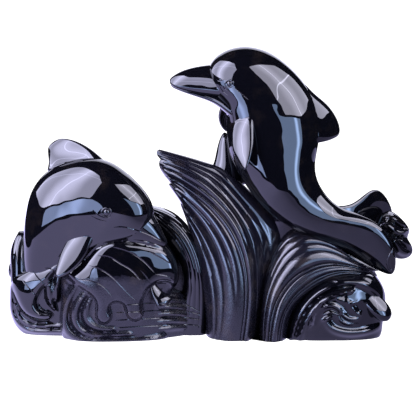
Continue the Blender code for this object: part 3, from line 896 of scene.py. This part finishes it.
breaker(
    "tail_wave",
    [
        (36, -6, -12), (37, 4, -10), (40.5, 13, -9), (47, 21, -8), (55, 26.6, -7),
        (63.4, 29.2, -6), (71, 29.6, -6), (79.1, 29.2, -6), (83, 25.6, -7), (85.8, 20.4, -8), (86.4, 15, -9),
        (85.6, 9, -10), (85, 3, -10), (83.6, -3, -11), (76, -7, -12), (60, -8, -13), (44, -8, -13),
    ],
    (63, 9),
    ((36, -26), (50, -27), (66, -27), (80, -25), (88, -22)),
    27.0,
    [
        *tail_curls,
        ("ridge", 1.4, [(50.6, 3, 1), (51.2, 8, 2.2), (54.4, 12.2, 2.6), (59.2, 13.4, 2.6), (63, 11.4, 2.6),
                        (65.6, 8, 2.4), (69.2, 6.4, 2.2), (72.4, 7.4, 1.6), (72.8, 10, 0.8)]),
        ("ridge", 1, [(56, 8.6, 1), (58.8, 9.9, 1.8), (61.4, 8.8, 1.8), (63.4, 6.2, 1.8),
                      (66.6, 4.4, 1.4), (72, 4.2, 0.8)]),
        ("ridge", 1.2, [(66.6, 16.4, 0.8), (68.4, 13, 2), (70.2, 10.6, 2.6), (72.6, 8.6, 1.2)]),
        ("ridge", 0.8, [(60, 17.6, 0.8), (64.6, 15.4, 1.6), (68.6, 14.6, 1.6), (73.4, 15.8, 0.8)]),
        *grooves(
            0.9,
            1.9,
            [(41.2, -5), (43.4, 3.6), (47, 11), (53, 17.2), (61, 21.2), (70, 22.8)],
            [(46.6, -4), (48.4, 4), (52, 10.6), (58, 16), (66, 18.4)],
            [(57.6, 26.6), (66, 27.2), (75, 26.4), (80.6, 22.6), (83.8, 17.6)],
        ),
    ],
    tail_curls,
    segments=144,
    rings=76,
)
for name, rows in {
    "tail_finger": [
        (76.5, 22, -17, 73, 15.5, -21, 2.6),
        (82, 18.6, -18, 76.6, 11, -24, 3.2),
        (86, 14.2, -19.5, 80.6, 7.4, -26, 3.2),
        (88.4, 10.6, -21.5, 84, 5.6, -26, 2.6),
        (88.6, 8.2, -23.5, 87.2, 6, -25.5, 1),
    ],
    "flared_drip": [
        (-27.5, 25.5, -22.5, -29.5, 24.5, -24, 0.9),
        (-25, 22, -23, -28.5, 19.5, -26, 1.3),
        (-22, 19.4, -23.5, -27, 15.6, -27.4, 1.7),
        (-19, 17.4, -24, -25.4, 12.4, -28.6, 2),
        (-17.9, 16, -24.6, -24.2, 11.2, -28.8, 1.4),
    ],
    "far_lobe": [
        (-96.4, 34, 0, -99, 33.6, 0, 1.6),
        (-96.4, 31.4, 0, -99.6, 31.4, 0, 3),
        (-96.4, 28.8, 0, -99.6, 28.4, 0, 3),
        (-96.4, 26.6, 0, -98.6, 26.6, 0, 1.4),
    ],
}.items():
    drawn_out(name, shell_rows(rows), 9, sides=10, boxy=0.9)

# %% Foam at the tail
breaker(
    "foam",
    [
        (84, 58, 4), (88, 60, 4), (93.6, 57, 3), (97, 53.4, 3), (98.5, 49.5, 3), (97.6, 46.6, 3),
        (98.4, 44.8, 2), (100, 41.8, 2), (99.9, 38.4, 2), (97.6, 36.3, 2), (92.4, 36, 2), (88, 38, 2),
        (83, 42, 2), (81, 50, 3),
    ],
    (91.5, 47),
    ((80, -9), (90, -8), (100, -4)),
    11.0,
    [
        ("ridge", 2.2, [(85.4, 54.4, 2), (89, 51.4, 3.6), (92, 49.4, 4), (95.6, 49.6, 3), (97.6, 51.2, 1)]),
        ("ridge", 2, [(88, 58, 1.6), (91.4, 55.6, 3.2), (94.4, 53.6, 3), (96.4, 53.2, 1)]),
        ("ridge", 2.4, [(88.6, 47, 1.6), (91.4, 43.6, 3.6), (93.8, 40.2, 4), (97.2, 38.6, 2.6)]),
        ("ridge", 1.6, [(91, 46.2, 1.2), (94.8, 44.6, 2.8), (98.2, 43.2, 2.2)]),
        *grooves(
            1.8,
            2.2,
            [(86.5, 48.6), (90.6, 46.6), (94.6, 46.8), (98.4, 46.4)],
            [(87, 55.6), (90.4, 53.2), (93.6, 51.4), (96.8, 50.8)],
            [(90, 41), (92, 38.2), (95, 36.4)],
            [(92.6, 45.4), (95.4, 41.6), (99, 40)],
        ),
    ],
    [],
    segments=96,
    rings=48,
)

# %% The stone between the waves
for name, rows in {
    "core_right": [
        (6, -5, 48, -5, 2, 11),
        (9, 18, 48, 16, 2, 10),
        (14, 40, 52, 36, 2, 8),
        (20, 56, 52, 48, 1, 7),
        (28, 66, 48, 58, -1, 6),
    ],
    "core_left": [
        (-40, -5, 2, -5, 4, 9),
        (-38, 18, 1, 18, 4, 9),
        (-38, 36, -4, 38, 4, 8),
        (-36, 52, -14, 50, 4, 5),
    ],
    "sea_bed": [
        (-86, 6, -86, -6, 3, 6),
        (-60, 12, -60, -8, 3, 14),
        (0, 12, 0, -8, 3, 12),
        (60, 12, 60, -8, 3, 14),
        (80, 6, 80, -6, 3, 6),
    ],
}.items():
    drawn_out(name, flat_rows(rows), 7, across=SIDEWAYS, finish=GROUND)

# %% [markdown]
# ## One stone
#
# The forms overlap, and the real carving is one piece, so a Boolean joins them into a single skin. A block
# then cuts the underside flat.

# %% Joining the forms
def cut_or_join(stone, how, tools):
    """Boolean a whole collection with the stone, and remove the tools."""
    bpy.ops.object.select_all(action="DESELECT")
    bpy.context.view_layer.objects.active = stone
    stone.select_set(True)
    step = stone.modifiers.new(how, "BOOLEAN")
    step.operation = how
    step.solver = "MANIFOLD"
    step.operand_type = "COLLECTION"
    step.collection = tools
    bpy.ops.object.modifier_apply(modifier=how)
    for tool in list(tools.objects):
        bpy.data.objects.remove(tool)
    print(how, "with", tools.name, "leaves", len(stone.data.polygons), "faces")


carving = keep_in(forms.objects["sea_bed"], bpy.context.scene.collection)
cut_or_join(carving, "UNION", forms)
carving.name = carving.data.name = "polished_carving"

# %% Grinding the underside flat
tools = bpy.data.collections.new("tools")
bpy.context.scene.collection.children.link(tools)
STONE_PLATE = (0.6, 0.4, 0.5)
below = (0, 0, -STONE_PLATE[2] / 2)
grindstone = primitive(bpy.ops.mesh.primitive_cube_add, "grindstone", location=below, size=1)
bpy.ops.transform.resize(value=STONE_PLATE)
bpy.ops.object.transform_apply(location=True, rotation=True, scale=True)
mark_finish(grindstone, GROUND)
keep_in(grindstone, tools)
cut_or_join(carving, "DIFFERENCE", tools)

# %% [markdown]
# ## Engraved lines
#
# The mouth, the creases, the lips of the fluke and the lines on the waves are worked on the finished skin. A
# line is drawn on the front view, and rays find where it meets the stone. A thin tube along those points is
# joined as a ridge or cut as a groove.

# %% Lines that follow the stone
SIGHT = Vector((0, math.cos(VIEW_RISE), -math.sin(VIEW_RISE)))
START_OF_SIGHT = 0.2  # metres from the drawing to where a ray begins
LONGEST_JUMP = 3.2  # steps between two points, beyond which the tube is broken off
SHORTEST_RUN = 4
TAPER = 2.5  # points over which a tube thins at each end
THINNEST_TUBE = 0.12


def skin_of(stone):
    """The stone as it is now, for the rays to hit."""
    skin = bmesh.new()
    skin.from_mesh(stone.data)
    tree = BVHTree.FromBMesh(skin)
    skin.free()
    return tree


skin = skin_of(carving)


def on_stone(x, height, side):
    """Where a line of sight first meets the front, for side -1, or the back, for side 1."""
    sight = Vector((0, -side * SIGHT.y, SIGHT.z))
    start = Vector((x * MM, 0, height * MM)) - sight * START_OF_SIGHT
    point, normal, _, _ = skin.ray_cast(start, sight)
    return point, normal


def trace(name, line, tall, sides=(-1, 1), finish=POLISHED, step=1.2, flat=True):
    """Tubes on the stone along a line of x, height, width. tall is their height over their width."""
    points = evenly(line, max(6, count_for(line, step)))
    for side in sides:
        runs, last = [[]], None
        for x, height, width in points:
            point, normal = on_stone(x, height, side)
            if point is None or (last is not None and (point - last).length > LONGEST_JUMP * step * MM):
                runs.append([])
            if point is not None:
                runs[-1].append((point, normal, max(width, THINNEST_TUBE)))
            last = point
        for number, run in enumerate(runs):
            if len(run) < SHORTEST_RUN:
                continue
            rows = []
            for k, (point, normal, width) in enumerate(run):
                ends = min(1, (k + 0.6) / TAPER, (len(run) - k - 0.4) / TAPER)
                ahead = (run[min(k + 1, len(run) - 1)][0] - run[max(k - 1, 0)][0]).normalized()
                across = ahead.cross(normal).normalized() * width / 2 * ends
                centre = point / MM
                rows.append(((centre + across)[:], (centre - across)[:], width / 2 * tall * ends))
            drawn_out(
                f"{name}_{side}_{number}", rows, len(rows), sides=6 if flat else 8, levels=0 if flat else 1,
                finish=finish, into=tools,
            )


# %% Raised lips
for name, line in {
    "fluke_lip": [
        (86.2, 47.6, 0.8), (88.6, 44.6, 1.2), (88.9, 40.4, 1.4), (86.9, 36.5, 1.4), (86.7, 33.2, 1.4),
        (88.3, 30.4, 1.2), (89.8, 31.4, 0.8),
    ],
    "fluke_fold": [(82.1, 53.6, 0.8), (83.7, 52, 1.2), (86.2, 54.4, 1.2), (89.8, 59.4, 0.8)],
}.items():
    trace(name, line, 0.5, (-1,), flat=False)
cut_or_join(carving, "UNION", tools)
skin = skin_of(carving)

# %% Engraved creases
GROOVE_TALL, LINE_WIDTH = 0.9, 0.8
for name, line, width in (
    ("leaper_crease", [(11.6, 120.7), (13.9, 118.7), (16.2, 116.7), (18.5, 114.7)], 0.5),
    ("leaper_wrinkle_a", [(4.1, 122.7), (5.1, 120.7), (6.7, 118.4), (8.7, 117)], 0.6),
    ("leaper_wrinkle_b", [(6.1, 122.2), (6.7, 120.7), (8, 119.3)], 0.5),
    ("leaper_brow", [(3.5, 124.3), (4.8, 124), (6.1, 124.5), (7.2, 124.2)], 0.6),
    ("diver_mouth", [(-46.5, 52), (-43.3, 52.3), (-36.9, 51), (-29.6, 48.4), (-23.5, 45)], 0.8),
    ("diver_wrinkle_a", [(-56.5, 60.5), (-54.5, 58.5), (-51.5, 57), (-48, 56.8)], 0.6),
    ("diver_wrinkle_b", [(-57.5, 57.8), (-54, 56), (-50, 55)], 0.5),
    ("fin_foot", [(-78, 81.5), (-71, 83.9), (-62, 85.5), (-55, 85.2)], 0.9),
):
    trace(name, [(x, h, width) for x, h in line], GROOVE_TALL, finish=GROUND)
# The lower edges of the crest and of the claw, and the seams between the layers, are cut like the lines.
for number, line in enumerate([*wave_lines, crest_sheet[7:], claw[:15], *strata[1:-1]]):
    trace(f"wave_line_{number}", [(x, h, LINE_WIDTH) for x, h in line], GROOVE_TALL, (-1,), finish=GROUND)
cut_or_join(carving, "DIFFERENCE", tools)
skin = skin_of(carving)

# %% [markdown]
# ## The eyes
#
# Each eye is a low dome with a raised lid round it, cut small and sharp, and the skin is creased behind it.

# %% The eyes
EYE_DEPTH, EYE_DOME = 0.3, 0.75  # shares of the radius
LID_LENGTH, LID_HEIGHT, LID_WIDTH = 1.45, 1.25, 0.9  # two shares of the radius, and mm
for name, x, height, radius in (("leaper", 9.3, 122.6, 1.5), ("diver", -50, 59.3, 1.7)):
    for side in (-1, 1):
        point, normal = on_stone(x, height, side)
        sphere = bpy.ops.mesh.primitive_uv_sphere_add
        ball = primitive(sphere, f"{name}_eye_{side}", segments=24, ring_count=12, radius=radius * MM)
        turn = normal.to_track_quat("Z", "Y").to_matrix().to_4x4()
        sunk = Matrix.Translation(point - normal * radius * EYE_DEPTH * MM)
        ball.data.transform(sunk @ turn @ Matrix.Diagonal((1, 1, EYE_DOME, 1)))
        mark_finish(ball, POLISHED)
        keep_in(ball, tools)
    ring = [
        (x + LID_LENGTH * radius * math.cos(a), height + LID_HEIGHT * radius * math.sin(a), LID_WIDTH)
        for a in np.linspace(-0.5, math.tau - 0.7, 12)
    ]
    trace(f"{name}_lid", ring, 0.8, flat=False, step=0.8)
cut_or_join(carving, "UNION", tools)
carving.data.calc_loop_triangles()
print("carving:", len(carving.data.loop_triangles), "triangles")

# %% [markdown]
# ## Two finishes of one stone
#
# Obsidian is volcanic glass, so it reflects like black glass: a refractive index near 1.5, no metal, almost
# no colour. The dolphins are polished to a mirror. The deep curls are only ground, which leaves fine
# scratches that blur the reflection and lift the black to a soft grey. A wheel reaches the high parts better
# than the deep ones, so the scratches get finer towards the top.

# %% Materials
FLOW_SIZE, SWELL_SIZE, SWELL_HEIGHT = 9 * MM, 14 * MM, 0.5 * MM
BUFFED_FROM, BUFFED_TO, BUFFED_SHARE = 22 * MM, 56 * MM, 0.22
SHARP_ANGLE = math.radians(38)


def linear(code):
    """An sRGB hex colour as the linear values that a shader takes."""
    parts = [int(code[i : i + 2], 16) / 255 for i in (1, 3, 5)]
    return tuple(p / 12.92 if p <= 0.04045 else ((p + 0.055) / 1.055) ** 2.4 for p in parts) + (1.0,)


def node(tree, kind, settings=(), **links):
    """Add a shader node, set its values, and link its inputs by name."""
    made = tree.nodes.new("ShaderNode" + kind)
    for key, value in dict(settings).items():
        if key in made.inputs:
            made.inputs[key].default_value = value
        else:
            setattr(made, key, value)
    for key, source in links.items():
        tree.links.new(source, made.inputs[key.replace("_", " ")])
    return made


def obsidian(name, dark, brown, roughness, grit, grit_height, specular):
    """Black volcanic glass with faint brown flow marks, and scratches of a given grit and height in mm.

    Both the blur and the scratches shrink with the height above the ground, as the wheel leaves them.
    """
    stone_look = bpy.data.materials.new(name)
    stone_look.use_nodes = True
    tree = stone_look.node_tree
    shader = tree.nodes["Principled BSDF"]
    shader.inputs["Metallic"].default_value = 0.0
    shader.inputs["IOR"].default_value = 1.5
    shader.inputs["Specular IOR Level"].default_value = specular
    place = node(tree, "TexCoord")
    flow_size = {"Scale": 1 / FLOW_SIZE, "Detail": 5, "Roughness": 0.65}
    flow = node(tree, "TexNoise", flow_size, Vector=place.outputs["Object"])
    fade = node(tree, "MapRange", {"From Min": 0.52, "From Max": 0.72}, Value=flow.outputs["Fac"])
    colour = node(tree, "Mix", {"data_type": "RGBA"})
    colour.inputs[6].default_value = linear(dark)
    colour.inputs[7].default_value = linear(brown)
    tree.links.new(fade.outputs["Result"], colour.inputs["Factor"])
    tree.links.new(colour.outputs[2], shader.inputs["Base Color"])
    grain = {"Scale": 1 / (grit * MM), "Detail": 3.0}
    scratches = node(tree, "TexNoise", grain, Vector=place.outputs["Object"])
    haze = node(
        tree,
        "MapRange",
        {"From Min": 0.3, "From Max": 0.7, "To Min": roughness * 0.75, "To Max": roughness * 1.25},
        Value=scratches.outputs["Fac"],
    )
    height = node(tree, "SeparateXYZ", Vector=place.outputs["Object"])
    reached = {"From Min": BUFFED_FROM, "From Max": BUFFED_TO, "To Min": 1, "To Max": BUFFED_SHARE}
    buffed = node(tree, "MapRange", reached, Value=height.outputs["Z"])
    gloss = node(tree, "Math", {"operation": "MULTIPLY"}, Value=haze.outputs["Result"])
    tree.links.new(buffed.outputs["Result"], gloss.inputs[1])
    tree.links.new(gloss.outputs["Value"], shader.inputs["Roughness"])
    swell_size = {"Scale": 1 / SWELL_SIZE, "Detail": 1.0}
    swell = node(tree, "TexNoise", swell_size, Vector=place.outputs["Object"])
    hand = node(tree, "Bump", {"Strength": 1, "Distance": SWELL_HEIGHT}, Height=swell.outputs["Fac"])
    rough = {"Strength": 1, "Distance": grit_height * MM}
    relief = node(tree, "Bump", rough, Height=scratches.outputs["Fac"], Normal=hand.outputs["Normal"])
    tree.links.new(buffed.outputs["Result"], relief.inputs["Strength"])
    tree.links.new(relief.outputs["Normal"], shader.inputs["Normal"])
    return stone_look


polished = obsidian("polished_obsidian", "#040406", "#0e0b0a", 0.03, 0.8, 0, 0.5)
ground = obsidian("ground_obsidian", "#0e0d12", "#211c1a", 0.24, 0.9, 0.05, 0.45)
carving.data.materials.clear()
carving.data.materials.append(polished)
carving.data.materials.append(ground)
finishes = np.empty(len(carving.data.polygons), dtype=np.int32)
carving.data.attributes["finish"].data.foreach_get("value", finishes)
carving.data.polygons.foreach_set("material_index", finishes)
bpy.ops.object.select_all(action="DESELECT")
bpy.context.view_layer.objects.active = carving
carving.select_set(True)
bpy.ops.object.shade_smooth_by_angle(angle=SHARP_ANGLE)
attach(carving, "root")
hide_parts("dolphin_carving")
print("ground faces:", int(finishes.sum()), "of", len(finishes))

# %% [markdown]
# ## Floor, light and camera
#
# Black glass has hardly any colour of its own: what the eye sees is the studio in it. Two soft boxes with
# brighter seams hang above the left and right, two blue walls stand below them, and a pale wall stands behind
# the stone. The camera sees none of these panels, and sees the floor and the room as white paper. In the
# reflections the floor glows bluish with painted light that dims from left to right, and the room is dark.

# %% Glowing cards
def glow(name, colour, strength=1):
    """A look that gives light of its own, the same in every direction."""
    made = bpy.data.materials.new(name)
    made.use_nodes = True
    tree = made.node_tree
    tree.nodes.clear()
    light = node(tree, "Emission", {"Color": linear(colour), "Strength": strength})
    node(tree, "OutputMaterial", Surface=light.outputs["Emission"])
    return made


def outwards(corner):
    """The direction of a corner, given as an angle round from the viewer and an angle up."""
    a, e = (math.radians(angle) for angle in corner)
    return Vector((math.sin(a) * math.cos(e), -math.cos(a) * math.cos(e), math.sin(e)))


def silk(name, colour, strength, centre, seams):
    """The cloth of a light tent. Each seam has two corners, a width and how much more it glows."""
    made = glow(name, colour)
    tree = made.node_tree
    place = node(tree, "TexCoord")
    away = node(tree, "VectorMath", {"operation": "SUBTRACT"}, Vector=place.outputs["Object"])
    away.inputs[1].default_value = centre
    ahead = node(tree, "VectorMath", {"operation": "NORMALIZE"}, Vector=away.outputs["Vector"])
    total = node(tree, "Value")
    total.outputs[0].default_value = strength
    for first, second, width, more in seams:
        off = node(tree, "VectorMath", {"operation": "DOT_PRODUCT"}, Vector=ahead.outputs["Vector"])
        off.inputs[1].default_value = outwards(first).cross(outwards(second)).normalized()
        gap = node(tree, "Math", {"operation": "ABSOLUTE"}, Value=off.outputs["Value"])
        fall = {"interpolation_type": "SMOOTHSTEP", "From Max": width}
        fall |= {"To Min": strength * more, "To Max": 0.0}
        line = node(tree, "MapRange", fall, Value=gap.outputs["Value"])
        both = node(tree, "Math", {"operation": "ADD"}, Value=line.outputs["Result"])
        tree.links.new(total.outputs[0], both.inputs[1])
        total = both
    tree.links.new(total.outputs[0], tree.nodes["Emission"].inputs["Strength"])
    return made


def panel(name, centre, corners, light, reach=0.35):
    """A glowing panel of the light tent, with its corners at the same distance in metres from a centre."""
    circle = bpy.ops.mesh.primitive_circle_add
    made = primitive(circle, name, vertices=len(corners), radius=1, fill_type="NGON")
    for vert, corner in zip(made.data.vertices, corners):
        vert.co = Vector(centre) + reach * outwards(corner)
    made.data.materials.append(light)
    made.visible_camera = False
    print("panel", name, "with", len(corners), "corners")


# %% The table
PAPER_GLOW, TABLE_RADIUS, TABLE_HEIGHT = 1.5, 0.45, -0.0002
# Painted light: the table glows where the stone reflects it, and the camera sees it as even white paper.
table_painted_light = glow("table_with_painted_light", "#c9c3ff")
table = table_painted_light.node_tree
spot = node(table, "TexCoord")
sideways = node(table, "SeparateXYZ", Vector=spot.outputs["Object"])
# Painted light: in the reflections the table glows bluish, bright on the left and dim on the right.
lit = {"From Min": -0.08, "From Max": 0.09, "To Min": 3, "To Max": 0.9}
fading = node(table, "MapRange", lit, Value=sideways.outputs["X"])
table.links.new(fading.outputs["Result"], table.nodes["Emission"].inputs["Strength"])
bright = node(table, "Emission", {"Color": linear("#ffffff"), "Strength": PAPER_GLOW})
seen = node(table, "LightPath")
either = node(table, "MixShader")
table.links.new(seen.outputs["Is Camera Ray"], either.inputs[0])
table.links.new(table.nodes["Emission"].outputs["Emission"], either.inputs[1])
table.links.new(bright.outputs["Emission"], either.inputs[2])
table.links.new(either.outputs["Shader"], table.nodes["Material Output"].inputs["Surface"])
circle = bpy.ops.mesh.primitive_circle_add
floor = primitive(circle, "white_floor", vertices=48, radius=TABLE_RADIUS, fill_type="NGON")
floor.data.transform(Matrix.Translation((0, 0, TABLE_HEIGHT)))
floor.data.materials.append(table_painted_light)

# %% The light tent
NEAR_DIVER = (-0.06, -0.01, 0.075)
NEAR_LEAPER = (0.035, -0.01, 0.10)
cool_seams = [
    ((-54, 64), (-60, 17), 0.016, 1.2),
    ((-98, 42), (-20, 50), 0.014, 0.9),
    ((-54, 64), (-60, 17), 0.4, 1.2),
]
pale_seams = [
    ((36, 54), (62, 20), 0.014, 2.2),
    ((28, 32), (98, 46), 0.012, 1.8),
    ((36, 54), (62, 20), 0.35, 0.6),
]
cool = silk("cool_silk", "#dbdbff", 8.6, NEAR_DIVER, cool_seams)
pale = silk("pale_silk", "#e7e6ff", 7.4, NEAR_LEAPER, pale_seams)
sky_blue = silk("blue_wall", "#b0ccff", 6, NEAR_LEAPER, [((41, 20), (41, -8), 0.12, 2.6)])
soft_blue = silk("soft_blue", "#b4c8ff", 9, NEAR_DIVER, [((-36, 14), (-36, -8), 0.2, 0.9)])
back_wall = glow("back_wall", "#cfcfe6", 3)
panel(
    "soft_box_left",
    NEAR_DIVER,
    [(-126, 12), (-120, 56), (-84, 68), (-45, 70), (-14, 60), (-10, 40), (-26, 8), (-60, 9)],
    cool,
)
panel(
    "soft_box_right",
    NEAR_LEAPER,
    [(18, 21), (6, 34), (0, 46), (20, 54), (34, 57), (60, 60), (95, 55), (114, 42), (117, 20), (60, 20)],
    pale,
)
panel("blue_right", NEAR_LEAPER, [(4, 18), (55, 18), (50, -10), (16, -10)], sky_blue)
panel("blue_left", NEAR_DIVER, [(-60, 7), (-24, 6), (-10, -7), (-58, -7)], soft_blue)
panel("wall_behind", (0, 0, 0.07), [(150, 5), (150, 40), (180, 48), (210, 40), (210, 5)], back_wall, 0.5)

# %% The dark room
world = bpy.data.worlds.new("dark_room")
bpy.context.scene.world = world
world.use_nodes = True
sky = world.node_tree
sky.nodes.clear()
dark = node(sky, "Background", {"Color": linear("#1a1a20"), "Strength": 0.8})
paper = node(sky, "Background", {"Color": linear("#ffffff"), "Strength": PAPER_GLOW})
ray = node(sky, "LightPath")
both = node(sky, "MixShader")
sky.links.new(ray.outputs["Is Camera Ray"], both.inputs[0])
sky.links.new(dark.outputs["Background"], both.inputs[1])
sky.links.new(paper.outputs["Background"], both.inputs[2])
node(sky, "OutputWorld", Surface=both.outputs["Shader"])

# %% Camera
PHOTO_WIDTH = 0.2049
DISTANCE = 1.4
SENSOR = 36  # mm
LOOK_AT = Vector((-0.001, 0, 0.0615))
lens = bpy.data.cameras.new("photo_camera")
lens.sensor_width = SENSOR
lens.lens = SENSOR * DISTANCE / PHOTO_WIDTH
print("lens of", round(lens.lens), "mm")
camera = bpy.data.objects.new("photo_camera", lens)
bpy.context.scene.collection.objects.link(camera)
camera.location = LOOK_AT - SIGHT * DISTANCE
camera.rotation_euler = (math.pi / 2 - VIEW_RISE, 0, 0)
bpy.context.scene.camera = camera
bpy.context.scene.view_settings.view_transform = "Standard"
